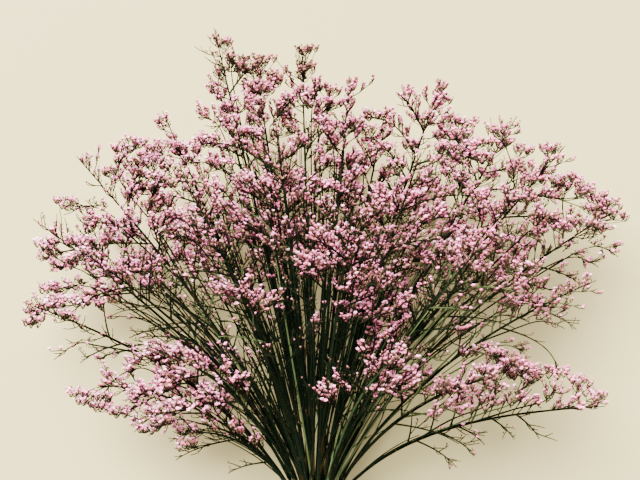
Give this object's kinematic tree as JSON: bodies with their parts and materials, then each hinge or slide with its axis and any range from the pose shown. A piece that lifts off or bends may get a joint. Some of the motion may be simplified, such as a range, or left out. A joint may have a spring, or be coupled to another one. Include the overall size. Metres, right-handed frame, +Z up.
{
  "type": "dried statice bunch",
  "caption": "Tied bunch of dried statice lying on its side: long bare stems that arch apart into branched sprays of small dusty pink flower clusters.",
  "frame": {"origin": "under the middle of the bunch, on the surface that it lies on", "axes": "+Z up from that surface, +Y from the cut ends towards the flowers, X across the bunch"},
  "size_m": [0.4476, 0.5676, 0.1848],
  "materials": {
    "dried_statice": "matt, dry and papery",
    "jute_twine": "matt, fibrous"
  },
  "bodies": {
    "root": {"stem_01": "dried_statice", "stem_02": "dried_statice", "stem_03": "dried_statice", "stem_04": "dried_statice", "stem_05": "dried_statice", "stem_06": "dried_statice", "stem_07": "dried_statice", "stem_08": "dried_statice", "stem_09": "dried_statice", "stem_10": "dried_statice", "stem_11": "dried_statice", "stem_12": "dried_statice", "stem_13": "dried_statice", "stem_14": "dried_statice", "stem_15": "dried_statice", "stem_16": "dried_statice", "stem_17": "dried_statice", "stem_18": "dried_statice", "stem_19": "dried_statice", "stem_20": "dried_statice", "stem_21": "dried_statice", "stem_22": "dried_statice", "stem_23": "dried_statice", "stem_24": "dried_statice", "stem_25": "dried_statice", "stem_26": "dried_statice", "stem_27": "dried_statice", "stem_28": "dried_statice", "stem_29": "dried_statice", "stem_30": "dried_statice", "stem_31": "dried_statice", "stem_32": "dried_statice", "stem_33": "dried_statice", "stem_34": "dried_statice", "stem_35": "dried_statice", "stem_36": "dried_statice", "tie": "jute_twine"}
  },
  "joints": []
}
